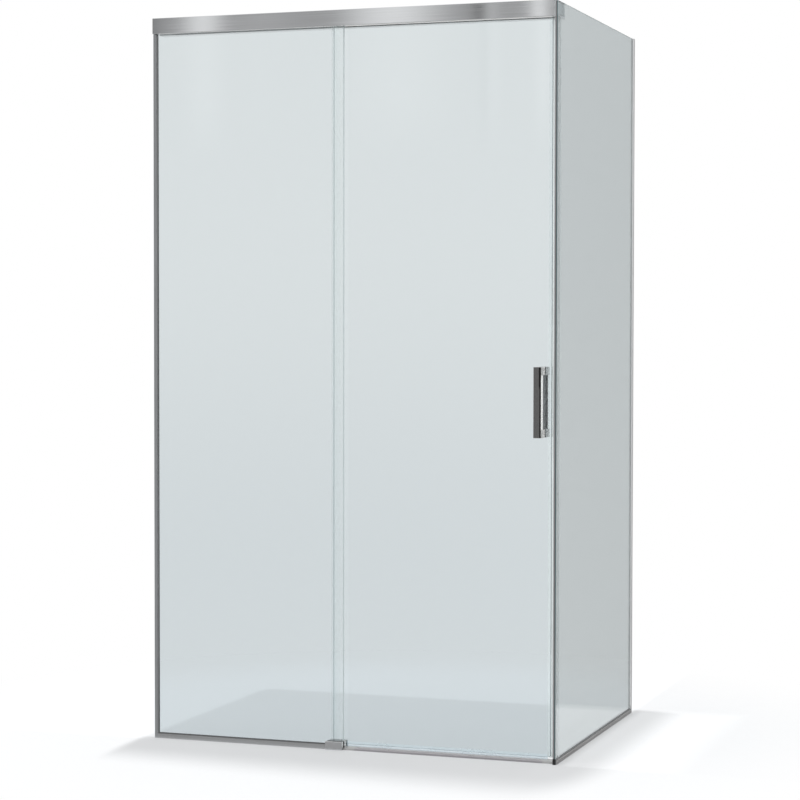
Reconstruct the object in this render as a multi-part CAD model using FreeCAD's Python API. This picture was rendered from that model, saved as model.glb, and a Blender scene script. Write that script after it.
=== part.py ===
import FreeCAD, Part
import os

# Corner shower enclosure: a fixed front glass and a side glass under one header, and a door that
# hangs from rollers in the header and slides behind the fixed glass. Sizes are in millimetres.
# Places are worked out on site axes: x runs along the front from the left wall, y runs inwards from
# the header's front face and z runs up from the tray. Everything moves once, at the end, so that
# the origin is at the middle of the footprint.

os.makedirs("parts", exist_ok=True)

# overall
enclosure_width = 1160.0
enclosure_depth = 850.0
enclosure_height = 2000.0

# glass panes
glass = 8.0
arris = 0.8
fixed_glass_right = 561.0
fixed_glass_front = 10.0
fixed_glass_top_drop = 10.0
side_glass_top_drop = 2.0
glass_gap = 14.0
pane_base = 5.0
wall_clearance = 2.0

# U channels round the panes, and their gaskets
channel_wall = 2.0
channel_leg = 12.0
wall_leg = 8.5
channel_round = 0.5
gasket = 1.5
gasket_lip = 3.0
gasket_tip = 0.4
gasket_foot = 1.0
channel_gap = 0.3
screw_hole_radius = 2.5
screw_end_inset = 150.0
screw_count = 4
bottom_short_length = 53.0
rear_foot_height = 4.5
end_cap = 1.5

# setting blocks
block_length = 40.0
block_inset = 100.0

# header
header_height = 43.0
header_depth = 76.0
header_skin = 1.2
skin_round = 1.0
header_wall = 2.5
header_rear_wall = 3.0
wall_gap = 0.5
slot_clearance = 1.5
boss = 7.0
infill_height = 3.0
infill_gap = 1.0
end_plate = 3.5
bond_pad = 1.0
bond_inset = 6.0

# screws of the header
screw_radius = 2.0
screw_head_radius = 4.0
screw_clearance = 0.05
screw_bite = 16.0
bracket_plate = 3.0
bracket_tongue = 45.0
bracket_hole_radius = 3.25
bracket_hole_spacing = 24.0
bracket_screw_inset = 12.0
bracket_screw_head = 2.5

# rail and rollers
roller_radius = 10.0
roller_flange = 2.0
roller_width = 10.0
roller_gap = 0.3
roller_spacing = 60.0
rail_bead = 3.0
rail_height = 4.0
rail_rib = 4.0
rail_end_gap = 6.0
axle_radius = 3.0
axle_clearance = 0.05
axle_head_radius = 5.0
axle_head = 3.0
axle_end_gap = 0.3

# carriages
carriage_length = 90.0
carriage_plate = 4.0
carriage_rise = 13.0
carriage_round = 4.0
carriage_pad = 2.0
carriage_pad_length = 60.0
carriage_inset = 80.0
carriage_roller_gap = 2.0
clamp_spacing = 28.0
clamp_drop = 5.0
clamp_disc_radius = 9.0
clamp_disc = 3.0
clamp_washer = 1.0
clamp_bolt_radius = 3.0
clamp_head_radius = 5.5
clamp_head = 2.5
lift_pad_length = 30.0
lift_pad = 5.5
lift_gap = 0.8

# door
door_overlap = 36.0
door_travel = 495.0
door_base = 13.0
glass_hole_radius = 6.0
sleeve_clearance = 0.1
seal_leg = 1.0
seal_web = 1.5
seal_grip = 8.0
seal_end_gap = 0.5
seal_fin = 1.6
seal_gap = 0.4
overlap_cover = 20.0
overlap_base = 26.0
magnet_nose = 8.0
magnet_width = 7.0
magnet = 3.0
magnet_cover = 1.0
strike_depth = 6.5
strike_base = 1.0
strike_width = 25.0
closing_gap = 0.5

# pulls
pull_width = 21.0
pull_height = 186.0
pull_thickness = 18.0
pull_leg = 22.0
pull_projection = 40.0
pull_round = 0.8
pull_inset = 28.0
pull_centre = 951.0
pull_pad = 0.5
pull_stud_radius = 3.0
pull_stud_bite = 12.0
pull_stud_room = 0.5

# bottom guide
guide_length = 49.0
guide_height = 22.0
guide_floor = 4.0
guide_back = 6.0
guide_chamfer = 0.6
liner = 1.5
liner_gap = 0.4

# threshold
threshold_height = 6.0
threshold_lead = 22.0
threshold_depth = 40.0
threshold_step = 2.0
threshold_ramp = 6.0
threshold_cap = 31.0
threshold_gap = 0.5

# travel stops
stop_length = 20.0
stop_depth = 12.0
stop_height = 29.0
stop_nose_base = 8.0
buffer = 5.0
buffer_gap = 0.3
stop_clearance = 0.1

# which edges are taken for a round: their direction, and how near they lie to a face
nearly_parallel = 0.8
near_face = 0.01

# planes of the panes, front to back and left to right
fixed_glass_back = fixed_glass_front + glass
fixed_middle = fixed_glass_front + glass / 2
fixed_glass_left = channel_wall + wall_clearance
door_front = fixed_glass_back + glass_gap
door_back = door_front + glass
door_middle = door_front + glass / 2
side_inner = enclosure_width - glass
side_middle = enclosure_width - glass / 2
channel_half = glass / 2 + gasket + channel_wall
side_glass_rear = enclosure_depth - channel_wall - wall_clearance

# levels and planes of the header
header_base = enclosure_height - header_height
header_left = wall_gap
end_plate_left = side_inner - bond_pad - end_plate
ceiling = enclosure_height - header_skin - header_wall
pocket_front = fixed_glass_front - gasket
pocket_back = fixed_glass_back + gasket
web_back = pocket_back + header_wall
chamber_back = header_depth - header_rear_wall
shelf_top = header_base + header_wall
fixed_glass_top = enclosure_height - fixed_glass_top_drop
side_glass_top = enclosure_height - side_glass_top_drop

# the carriages hang under the ceiling, and the rail meets their rollers
carriage_top = ceiling - lift_gap - lift_pad
roller_level = carriage_top - carriage_rise
rail_top = roller_level - roller_radius - roller_gap
rail_seat = rail_top - rail_height
plate_front = door_back + carriage_pad
plate_back = plate_front + carriage_plate
roller_front = plate_back + carriage_roller_gap
roller_back = roller_front + roller_width
rail_middle = roller_front + roller_width / 2
slot_back = plate_back + slot_clearance
clamp_level = roller_level - clamp_drop

# the door, from its overlap to its magnetic edge
door_left = fixed_glass_right - door_overlap
door_right = side_inner - strike_depth - closing_gap - magnet_nose
carriage_places = (door_left + carriage_inset, door_right - carriage_inset)
pull_middle = door_right - pull_inset
pull_levels = (
    pull_centre - pull_height / 2 + pull_leg / 2,
    pull_centre + pull_height / 2 - pull_leg / 2,
)
seal_front = door_front - seal_leg
seal_back = door_back + seal_leg
magnet_half = glass / 2 + seal_leg + seal_leg / 2

# the guide stands at the fixed glass's free edge, and the bottom profile ends against it
guide_left = fixed_glass_right - guide_length
liner_front = seal_front - liner_gap - liner
liner_back = seal_back + liner_gap + liner
guide_rear = liner_back + guide_back
seam = wall_leg + bottom_short_length
threshold_front = door_front - threshold_lead
threshold_left = fixed_glass_right + threshold_gap
threshold_rear = threshold_front + threshold_depth
threshold_right = side_inner - channel_gap

front_most = min(0.0, door_front - pull_projection)
right_most = side_middle + channel_half
site_centre = FreeCAD.Vector(right_most / 2, (front_most + enclosure_depth) / 2, 0)


def block(x, y, z):
    corner = FreeCAD.Vector(x[0], y[0], z[0])
    return Part.makeBox(x[1] - x[0], y[1] - y[0], z[1] - z[0], corner)


def rod(start, direction, radius, length):
    return Part.makeCylinder(radius, length, FreeCAD.Vector(*start), FreeCAD.Vector(*direction))


def sleeve(start, direction, outer, inner, length):
    return rod(start, direction, outer, length).cut(rod(start, direction, inner, length))


def around(middle, length):
    return (middle - length / 2, middle + length / 2)


def prism_x(outline, x):
    points = [FreeCAD.Vector(x[0], y, z) for y, z in outline]
    face = Part.Face(Part.makePolygon(points + points[:1]))
    return face.extrude(FreeCAD.Vector(x[1] - x[0], 0, 0))


def prism_z(outline, z):
    points = [FreeCAD.Vector(x, y, z[0]) for x, y in outline]
    face = Part.Face(Part.makePolygon(points + points[:1]))
    return face.extrude(FreeCAD.Vector(0, 0, z[1] - z[0]))


def joined(shapes):
    return shapes[0].multiFuse(shapes[1:]).removeSplitter()


def edges_along(shape, axis, test=None):
    found = []
    for edge in shape.Edges:
        way = edge.tangentAt(edge.FirstParameter)
        if abs(getattr(way, axis)) > nearly_parallel and (test is None or test(edge.CenterOfMass)):
            found.append(edge)
    return found


def pane(x, y, z):
    sheet = block(x, y, z)
    return sheet.makeChamfer(arris, sheet.Edges)


# A channel or a gasket pair is made standing on end at the origin: it opens towards +x, its pane
# lies on the plane y = 0 and it runs up z. laid() turns it to the way it opens and runs.
def channel(length, leg, holes=()):
    body = block((0, leg), (-channel_half, channel_half), (0, length))
    outer = edges_along(body, "z", lambda middle: middle.x > leg / 2)
    body = body.makeFillet(channel_round, outer)
    inner = channel_half - channel_wall
    body = body.cut(block((channel_wall, leg), (-inner, inner), (0, length)))
    for level in holes:
        body = body.cut(rod((0, 0, level), (1, 0, 0), screw_hole_radius, channel_wall))
    return body


def gasket_pair(length, leg):
    start = channel_wall + gasket_foot
    end = leg + gasket_lip
    strips = []
    for side in (-1, 1):
        face = side * glass / 2
        outer = face + side * gasket
        tip = face + side * gasket_tip
        outline = [(start, face), (end, face), (end, tip), (leg, outer), (start, outer)]
        strips.append(prism_z(outline, (0, length)))
    return Part.makeCompound(strips)


def laid(shape, opens, runs, place):
    opens = FreeCAD.Vector(*opens)
    runs = FreeCAD.Vector(*runs)
    turned = shape.copy()
    turn = FreeCAD.Rotation(opens, runs.cross(opens), runs, "XZY")
    turned.Placement = FreeCAD.Placement(FreeCAD.Vector(*place), turn)
    return turned


def screw_levels(length):
    step = (length - 2 * screw_end_inset) / (screw_count - 1)
    return [screw_end_inset + step * number for number in range(screw_count)]


def left_channel():
    length = header_base - channel_gap
    body = channel(length, wall_leg, screw_levels(length))
    gaskets = gasket_pair(length - pane_base, wall_leg)
    return {
        "wall_channel_left": laid(body, (1, 0, 0), (0, 0, 1), (0, fixed_middle, 0)),
        "wall_gaskets_left": laid(gaskets, (1, 0, 0), (0, 0, 1), (0, fixed_middle, pane_base)),
    }


def rear_channel():
    length = side_glass_top - rear_foot_height
    body = channel(length, wall_leg, screw_levels(length))
    gaskets = gasket_pair(side_glass_top - pane_base, wall_leg)
    across = around(side_middle, 2 * channel_half)
    foot = block(across, (enclosure_depth - wall_leg, enclosure_depth), (0, rear_foot_height))
    body_place = (side_middle, enclosure_depth, rear_foot_height)
    gasket_place = (side_middle, enclosure_depth, pane_base)
    return {
        "wall_channel_rear": laid(body, (0, -1, 0), (0, 0, 1), body_place),
        "wall_gaskets_rear": laid(gaskets, (0, -1, 0), (0, 0, 1), gasket_place),
        "rear_channel_foot": foot,
    }


def front_profiles():
    gasket_start = wall_leg + gasket_lip
    short = channel(bottom_short_length, channel_leg)
    long = channel(guide_left - seam, channel_leg)
    gaskets = gasket_pair(guide_left - gasket_start, channel_leg)
    return {
        "bottom_profile_short": laid(short, (0, 0, 1), (1, 0, 0), (wall_leg, fixed_middle, 0)),
        "bottom_profile_long": laid(long, (0, 0, 1), (1, 0, 0), (seam, fixed_middle, 0)),
        "bottom_gaskets": laid(gaskets, (0, 0, 1), (1, 0, 0), (gasket_start, fixed_middle, 0)),
    }


# The side profile's inner leg stops behind the threshold, which runs through to the side glass.
def side_profiles():
    rear_face = enclosure_depth - wall_leg
    gasket_end = rear_face - gasket_lip
    seal_level = (0, channel_leg + gasket_lip)
    inner_side = (side_middle - channel_half, side_inner)
    doorway = block(inner_side, (0, threshold_rear + channel_gap), seal_level)
    start = (side_middle, 0, 0)
    profile = laid(channel(rear_face, channel_leg), (0, 0, 1), (0, 1, 0), start)
    gaskets = laid(gasket_pair(gasket_end, channel_leg), (0, 0, 1), (0, 1, 0), start)
    return {
        "side_bottom_profile": profile.cut(doorway),
        "side_bottom_gaskets": gaskets.cut(doorway),
        "side_profile_end_cap": block((side_inner, enclosure_width), (-end_cap, 0), seal_level),
    }


def setting_blocks():
    level = (channel_wall, pane_base)
    thickness = around(fixed_middle, glass)
    places = (seam + block_inset, guide_left - block_inset)
    under_fixed = [block(around(place, block_length), thickness, level) for place in places]
    over_fixed = [
        block(around(place, block_length), thickness, (fixed_glass_top, ceiling))
        for place in (fixed_glass_left + block_inset, fixed_glass_right - block_inset)
    ]
    under_side = [
        block((side_inner, enclosure_width), around(place, block_length), level)
        for place in (block_inset, side_glass_rear - block_inset)
    ]
    return {
        "fixed_glass_blocks": Part.makeCompound(under_fixed),
        "header_glass_blocks": Part.makeCompound(over_fixed),
        "side_glass_blocks": Part.makeCompound(under_side),
    }


def fixed_panes():
    return {
        "fixed_glass": pane((fixed_glass_left, fixed_glass_right), (fixed_glass_front, fixed_glass_back),
                            (pane_base, fixed_glass_top)),
        "side_glass": pane((side_inner, enclosure_width), (0, side_glass_rear),
                           (pane_base, side_glass_top)),
    }


# The header is an extrusion with a glazing pocket in front and a running chamber behind, under a
# steel skin that wraps its front and top. Solid corners take the end plate's screws.
def screw_places():
    top = ceiling - boss / 2
    bottom = header_base + header_skin + boss
    rear = chamber_back - boss / 2
    front = (header_skin + pocket_front) / 2
    return [(web_back + boss / 2, top), (rear, top), (rear, shelf_top + boss / 2), (front, bottom)]


def header():
    along = (header_left, end_plate_left)
    front_top = enclosure_height - header_skin
    corner_top = (ceiling - boss, ceiling)
    rear_boss = (chamber_back - boss, chamber_back)
    body = joined([
        block(along, (header_skin, pocket_front), (header_base + header_skin, front_top)),
        block(along, (header_skin, header_depth), (ceiling, front_top)),
        block(along, (pocket_back, web_back), (header_base, front_top)),
        block(along, (slot_back, header_depth), (header_base, shelf_top)),
        block(along, (chamber_back, header_depth), (header_base, front_top)),
        block(along, around(rail_middle, rail_rib), (shelf_top, rail_seat)),
        block(along, (web_back, web_back + boss), corner_top),
        block(along, rear_boss, corner_top),
        block(along, rear_boss, (shelf_top, shelf_top + boss)),
    ])
    for y, z in screw_places():
        start = (end_plate_left, y, z)
        body = body.cut(rod(start, (-1, 0, 0), screw_radius + screw_clearance, screw_bite))
    for x, y in bracket_screw_places():
        hole = rod((x, y, ceiling), (0, 0, 1), screw_radius + screw_clearance, header_wall)
        body = body.cut(hole)

    skin = joined([
        block(along, (0, header_skin), (header_base, enclosure_height)),
        block(along, (0, header_depth), (front_top, enclosure_height)),
        block(along, (0, pocket_front), (header_base, header_base + header_skin)),
    ])
    front = edges_along(skin, "x", lambda middle: middle.y < near_face)
    skin = skin.makeFillet(skin_round, front)

    glazed = (header_left, fixed_glass_right)
    seats = (header_base, fixed_glass_top)
    gaskets = [
        block(glazed, (pocket_front, fixed_glass_front), seats),
        block(glazed, (fixed_glass_back, pocket_back), seats),
    ]
    infill = block(
        (fixed_glass_right + infill_gap, end_plate_left),
        (pocket_front, pocket_back),
        (header_base, header_base + infill_height),
    )
    return {
        "header_body": body,
        "header_fascia": skin,
        "header_gaskets": Part.makeCompound(gaskets),
        "header_infill": infill,
    }


def track_rail():
    along = (header_left + bracket_plate + rail_end_gap, end_plate_left - rail_end_gap)
    bead_level = rail_top - rail_bead
    foot = block(along, around(rail_middle, 2 * rail_bead), (rail_seat, bead_level))
    bead = rod((along[0], rail_middle, bead_level), (1, 0, 0), rail_bead, along[1] - along[0])
    bead = bead.common(block(along, around(rail_middle, 2 * rail_bead), (bead_level, rail_top)))
    return {"track_rail": joined([foot, bead])}


# The wall bracket is a plate on the wall with a tongue under the header's ceiling.
def bracket_screw_places():
    y = chamber_back - boss - screw_head_radius
    return [(bracket_plate + bracket_screw_inset, y), (bracket_tongue - bracket_screw_inset, y)]


def bracket_hole_level():
    return (rail_top + ceiling - bracket_plate) / 2


def wall_bracket():
    rear = chamber_back - boss - infill_gap
    front = web_back + boss + infill_gap
    middle = (front + rear) / 2
    body = joined([
        block((0, bracket_plate), (front, rear), (rail_top, ceiling)),
        block((0, bracket_tongue), (front, rear), (ceiling - bracket_plate, ceiling)),
    ])
    for y in around(middle, bracket_hole_spacing):
        start = (0, y, bracket_hole_level())
        body = body.cut(rod(start, (1, 0, 0), bracket_hole_radius, bracket_plate))
    screws = []
    clear = screw_radius + screw_clearance
    for x, y in bracket_screw_places():
        under = ceiling - bracket_plate
        body = body.cut(rod((x, y, under), (0, 0, 1), clear, bracket_plate))
        shank = rod((x, y, under), (0, 0, 1), screw_radius, bracket_plate + header_wall)
        head = rod((x, y, under), (0, 0, -1), screw_head_radius, bracket_screw_head)
        screws.append(joined([shank, head]))
    return {"header_wall_bracket": body, "header_bracket_screws": Part.makeCompound(screws)}


def end_fixing():
    right = end_plate_left + end_plate
    plate = block((end_plate_left, right), (0, header_depth), (header_base, enclosure_height))
    screws = []
    sink = screw_head_radius - screw_radius
    clear = screw_radius + screw_clearance
    wide = screw_head_radius + screw_clearance
    inwards = FreeCAD.Vector(-1, 0, 0)
    for y, z in screw_places():
        spot = FreeCAD.Vector(right, y, z)
        plate = plate.cut(rod((end_plate_left, y, z), (1, 0, 0), clear, end_plate))
        plate = plate.cut(Part.makeCone(wide, clear, sink, spot, inwards))
        head = Part.makeCone(screw_head_radius, screw_radius, sink, spot, inwards)
        shank = rod((right - sink, y, z), (-1, 0, 0), screw_radius, end_plate - sink + screw_bite)
        screws.append(joined([head, shank]))
    pad = block(
        (right, side_inner),
        (bond_inset, header_depth - bond_inset),
        (header_base + bond_inset, side_glass_top - bond_inset),
    )
    return {
        "header_end_plate": plate,
        "header_end_screws": Part.makeCompound(screws),
        "header_bond_pad": pad,
    }


# A stop straddles the rail. Its nose reaches forward to the carriage plate's end, with a buffer.
def stop(face, way):
    near = face + way * buffer
    far = near + way * stop_length
    along = (min(near, far), max(near, far))
    rear = roller_front + stop_depth
    top = shelf_top + stop_height
    nose_base = shelf_top + stop_nose_base
    body = joined([
        block(along, (roller_front, rear), (shelf_top, top)),
        block(along, (plate_front, roller_front), (nose_base, top)),
    ])
    rib = around(rail_middle, rail_rib + 2 * stop_clearance)
    head = around(rail_middle, 2 * (rail_bead + stop_clearance))
    body = body.cut(block(along, rib, (shelf_top, rail_seat)))
    body = body.cut(block(along, head, (rail_seat - stop_clearance, rail_top + stop_clearance)))
    level = (rail_seat + rail_top) / 2
    gap_back = rail_middle + rail_bead + stop_clearance
    middle = (near + far) / 2
    hole = rod((middle, gap_back, level), (0, 1, 0), screw_radius + screw_clearance, rear - gap_back)
    screw = rod((middle, gap_back, level), (0, 1, 0), screw_radius, rear - gap_back)
    pad_along = (min(face, near), max(face, near))
    pad = block(pad_along, (plate_front, plate_back), (nose_base, top))
    return body.cut(hole), pad, screw


def stops():
    half = carriage_length / 2
    open_face = carriage_places[0] - half - door_travel - buffer_gap
    closed_face = carriage_places[1] + half + buffer_gap
    left, left_pad, left_screw = stop(open_face, -1)
    right, right_pad, right_screw = stop(closed_face, 1)
    return {
        "stop_block_left": left,
        "stop_block_right": right,
        "stop_buffers": Part.makeCompound([left_pad, right_pad]),
        "stop_screws": Part.makeCompound([left_screw, right_screw]),
    }


def guide():
    along = (guide_left, fixed_glass_right)
    pad_front = fixed_glass_front - gasket
    pad_back = fixed_glass_back + gasket
    body = block(along, (0, guide_rear), (0, guide_height))
    top = [edge for edge in body.Edges if edge.CenterOfMass.z > guide_height - near_face]
    body = body.makeChamfer(guide_chamfer, top)
    body = body.cut(block(along, (pad_front, pad_back), (guide_floor, guide_height)))
    body = body.cut(block(along, (liner_front, liner_back), (guide_floor, guide_height)))
    slot = block(along, (liner_front, liner_back), (guide_floor, guide_height))
    inside = (liner_front + liner, liner_back - liner)
    lining = slot.cut(block(along, inside, (pane_base, guide_height)))
    pads = [
        block(along, (pad_front, fixed_glass_front), (guide_floor, guide_height - guide_chamfer)),
        block(along, (fixed_glass_back, pad_back), (guide_floor, guide_height - guide_chamfer)),
        block(along, (fixed_glass_front, fixed_glass_back), (guide_floor, pane_base)),
    ]
    return {"guide_body": body, "guide_liner": lining, "guide_pads": Part.makeCompound(pads)}


def threshold():
    outline = [
        (threshold_front, 0),
        (threshold_rear, 0),
        (threshold_rear, threshold_step),
        (threshold_rear - threshold_ramp, threshold_height),
        (threshold_front + threshold_step, threshold_height),
        (threshold_front, threshold_height - threshold_step),
    ]
    left_end = threshold_left + threshold_cap
    right_end = threshold_right - threshold_cap
    return {
        "threshold_cap_left": prism_x(outline, (threshold_left, left_end)),
        "threshold_profile": prism_x(outline, (left_end, right_end)),
        "threshold_cap_right": prism_x(outline, (right_end, threshold_right)),
    }


def clamp_places():
    return [x for place in carriage_places for x in around(place, clamp_spacing)]


def roller_places():
    return [x for place in carriage_places for x in around(place, roller_spacing)]


def door_glass():
    body = pane((door_left, door_right), (door_front, door_back), (door_base, carriage_top))
    centres = [(x, clamp_level) for x in clamp_places()]
    centres += [(pull_middle, level) for level in pull_levels]
    sleeves = []
    for x, z in centres:
        start = (x, door_front, z)
        bolt = pull_stud_radius if x == pull_middle else clamp_bolt_radius
        outer = glass_hole_radius - sleeve_clearance
        body = body.cut(rod(start, (0, 1, 0), glass_hole_radius, glass))
        sleeves.append(sleeve(start, (0, 1, 0), outer, bolt + sleeve_clearance, glass))
    return {"door_glass": body, "glass_sleeves": Part.makeCompound(sleeves)}


def carriage(place):
    level = around(roller_level, 2 * carriage_rise)
    plate = block(around(place, carriage_length), (plate_front, plate_back), level)
    plate = plate.makeFillet(carriage_round, edges_along(plate, "y"))
    bolt_hole = clamp_bolt_radius + screw_clearance
    axle_hole = axle_radius + screw_clearance
    for x in around(place, clamp_spacing):
        plate = plate.cut(rod((x, plate_front, clamp_level), (0, 1, 0), bolt_hole, carriage_plate))
    for x in around(place, roller_spacing):
        plate = plate.cut(rod((x, plate_front, roller_level), (0, 1, 0), axle_hole, carriage_plate))
    return plate


def carriages():
    discs = []
    bolts = []
    gaskets = []
    back = (0, 1, 0)
    outer = clamp_disc_radius
    inner = clamp_bolt_radius + sleeve_clearance
    washer_front = door_front - clamp_washer
    disc_front = washer_front - clamp_disc
    head_front = disc_front - clamp_head
    for x in clamp_places():
        gaskets.append(sleeve((x, washer_front, clamp_level), back, outer, inner, clamp_washer))
        discs.append(sleeve((x, disc_front, clamp_level), back, outer, inner, clamp_disc))
        shank = rod((x, disc_front, clamp_level), back, clamp_bolt_radius, plate_back - disc_front)
        head = rod((x, head_front, clamp_level), back, clamp_head_radius, clamp_head)
        bolts.append(joined([shank, head]))
    lift_pads = []
    for place in carriage_places:
        level = around(clamp_level, 2 * clamp_disc_radius)
        pad = block(around(place, carriage_pad_length), (door_back, plate_front), level)
        for x in around(place, clamp_spacing):
            pad = pad.cut(rod((x, door_back, clamp_level), back, inner, carriage_pad))
        gaskets.append(pad)
        lift_level = (carriage_top, carriage_top + lift_pad)
        lift_pads.append(block(around(place, lift_pad_length), (plate_front, plate_back), lift_level))
    return {
        "carriage_left": carriage(carriage_places[0]),
        "carriage_right": carriage(carriage_places[1]),
        "carriage_gaskets": Part.makeCompound(gaskets),
        "clamp_discs": Part.makeCompound(discs),
        "clamp_bolts": Part.makeCompound(bolts),
        "anti_lift_pads": Part.makeCompound(lift_pads),
    }


def rollers():
    nodes = {}
    axles = []
    groove = rail_bead + roller_gap
    axle_end = roller_back + axle_end_gap
    for number, x in enumerate(roller_places(), 1):
        start = (x, roller_front, roller_level)
        wheel = rod(start, (0, 1, 0), roller_radius + roller_flange, roller_width)
        centre = FreeCAD.Vector(x, rail_middle, roller_level)
        ring = Part.makeTorus(roller_radius + groove, groove, centre, FreeCAD.Vector(0, 1, 0))
        wheel = wheel.cut(ring)
        wheel = wheel.cut(rod(start, (0, 1, 0), axle_radius + axle_clearance, roller_width))
        nodes["roller_" + str(number)] = wheel
        shank = rod((x, plate_front, roller_level), (0, 1, 0), axle_radius, axle_end - plate_front)
        collar_length = carriage_roller_gap - axle_end_gap
        collar = rod((x, plate_back, roller_level), (0, 1, 0), axle_head_radius, collar_length)
        head = rod((x, axle_end, roller_level), (0, 1, 0), axle_head_radius, axle_head)
        axles.append(joined([shank, collar, head]))
    nodes["roller_axles"] = Part.makeCompound(axles)
    return nodes


# The edge seals clip on the glass with two legs and a web. Each carries a fin or a magnet nose.
def bottom_seal():
    along = (door_left + seal_end_gap, door_right - seal_grip - seal_end_gap)
    web_base = door_base - seal_web
    fin_base = threshold_height + seal_gap
    body = joined([
        block(along, (seal_front, seal_back), (web_base, door_base)),
        block(along, (seal_front, door_front), (door_base, door_base + seal_grip)),
        block(along, (door_back, seal_back), (door_base, door_base + seal_grip)),
        block(along, around(door_middle, seal_fin), (fin_base, web_base)),
    ])
    return {"door_bottom_seal": body}


def overlap_seal():
    level = (overlap_base, header_base - seal_end_gap)
    web = (door_left - seal_web, door_left)
    body = joined([
        block(web, (seal_front, seal_back), level),
        block((door_left, door_left + overlap_cover), (seal_front, door_front), level),
        block((door_left, door_left + seal_grip), (door_back, seal_back), level),
        block(web, (fixed_glass_back + seal_gap, seal_front), level),
    ])
    return {"door_overlap_seal": body}


def magnet_seals():
    nose = (door_right, door_right + magnet_nose)
    across = around(door_middle, 2 * magnet_half)
    level = (door_base, header_base - seal_end_gap)
    clip = joined([
        block((door_right - seal_grip, door_right), (seal_front, door_front), level),
        block((door_right - seal_grip, door_right), (door_back, seal_back), level),
        block(nose, across, level),
    ])
    slot = (nose[1] - magnet_cover - magnet, nose[1] - magnet_cover)
    strip = block(slot, around(door_middle, magnet_width), level)

    strike_level = (threshold_height + seal_gap, header_base - seal_end_gap)
    face = side_inner - strike_depth
    strike = joined([
        block((side_inner - strike_base, side_inner), around(door_middle, strike_width), strike_level),
        block((face, side_inner), across, strike_level),
    ])
    strike_slot = (face + magnet_cover, face + magnet_cover + magnet)
    strike_strip = block(strike_slot, around(door_middle, magnet_width), strike_level)
    return {
        "door_magnetic_seal": clip.cut(strip),
        "door_magnet": strip,
        "strike_seal": strike.cut(strike_strip),
        "strike_magnet": strike_strip,
    }


# One pull is a bar on two legs. The outer and the inner pull share studs through the glass.
def pull(face, way):
    foot = face + way * pull_pad
    bar_back = face + way * (pull_projection - pull_thickness)
    front = face + way * pull_projection
    across = around(pull_middle, pull_width)
    body = block(across, (min(foot, front), max(foot, front)), around(pull_centre, pull_height))
    gap = block(across, (min(face, bar_back), max(face, bar_back)),
                around(pull_centre, pull_height - 2 * pull_leg))
    body = body.cut(gap)
    body = body.makeFillet(pull_round, body.Edges)
    for level in pull_levels:
        start = (pull_middle, foot, level)
        depth = pull_stud_bite + pull_stud_room
        body = body.cut(rod(start, (0, way, 0), pull_stud_radius + screw_clearance, depth))
    return body


def pulls():
    studs = []
    pads = []
    reach = pull_pad + pull_stud_bite
    for level in pull_levels:
        start = (pull_middle, door_front - reach, level)
        studs.append(rod(start, (0, 1, 0), pull_stud_radius, glass + 2 * reach))
        for face, way in ((door_front, -1), (door_back, 1)):
            depth = (min(face, face + way * pull_pad), max(face, face + way * pull_pad))
            side = pull_width - 2 * pull_round
            height = pull_leg - 2 * pull_round
            pad = block(around(pull_middle, side), depth, around(level, height))
            hole = rod((pull_middle, depth[0], level), (0, 1, 0), glass_hole_radius, pull_pad)
            pads.append(pad.cut(hole))
    return {
        "handle_outer": pull(door_front, -1),
        "handle_inner": pull(door_back, 1),
        "handle_studs": Part.makeCompound(studs),
        "handle_gaskets": Part.makeCompound(pads),
    }


sections = (
    left_channel, rear_channel, front_profiles, side_profiles, setting_blocks, fixed_panes,
    header, track_rail, wall_bracket, end_fixing, stops, guide, threshold,
    door_glass, carriages, rollers, bottom_seal, overlap_seal, magnet_seals, pulls,
)
for section in sections:
    for name, shape in section().items():
        shape.translate(-site_centre)
        shape.exportStep("parts/" + name + ".step")
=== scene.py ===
import bpy
import math
from mathutils import Euler, Matrix, Vector


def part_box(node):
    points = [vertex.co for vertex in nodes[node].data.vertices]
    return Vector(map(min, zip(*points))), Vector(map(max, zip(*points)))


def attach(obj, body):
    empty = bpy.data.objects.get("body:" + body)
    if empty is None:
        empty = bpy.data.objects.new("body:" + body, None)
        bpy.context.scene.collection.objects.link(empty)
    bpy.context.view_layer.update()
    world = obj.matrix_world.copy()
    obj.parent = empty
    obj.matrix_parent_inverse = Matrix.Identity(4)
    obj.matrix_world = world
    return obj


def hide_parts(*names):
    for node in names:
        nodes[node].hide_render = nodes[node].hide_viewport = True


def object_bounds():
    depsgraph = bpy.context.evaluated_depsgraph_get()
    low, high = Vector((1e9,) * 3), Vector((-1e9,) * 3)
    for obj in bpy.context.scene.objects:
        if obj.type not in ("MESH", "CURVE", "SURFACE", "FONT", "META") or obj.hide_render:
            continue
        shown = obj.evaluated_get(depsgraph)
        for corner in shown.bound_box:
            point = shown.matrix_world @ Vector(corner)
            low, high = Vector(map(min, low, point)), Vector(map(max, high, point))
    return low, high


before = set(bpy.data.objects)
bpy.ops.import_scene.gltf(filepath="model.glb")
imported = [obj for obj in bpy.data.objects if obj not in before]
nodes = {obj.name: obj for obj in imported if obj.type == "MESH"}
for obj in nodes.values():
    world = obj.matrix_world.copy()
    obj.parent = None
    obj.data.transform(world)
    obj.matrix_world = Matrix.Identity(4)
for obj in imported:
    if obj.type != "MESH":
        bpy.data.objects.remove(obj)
cadLow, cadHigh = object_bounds()
mm = 0.001
print("frame loaded:", len(nodes), "nodes")


# a socket is linked when it is given another socket, and set when it is given a value
def feed(tree, socket, value):
    if isinstance(value, bpy.types.NodeSocket):
        tree.links.new(value, socket)
    else:
        socket.default_value = value


def put(tree, kind, sockets=None, **settings):
    node = tree.nodes.new(kind)
    for name, value in settings.items():
        setattr(node, name, value)
    for key, value in (sockets or {}).items():
        feed(tree, node.inputs[key], value)
    return node


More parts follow.
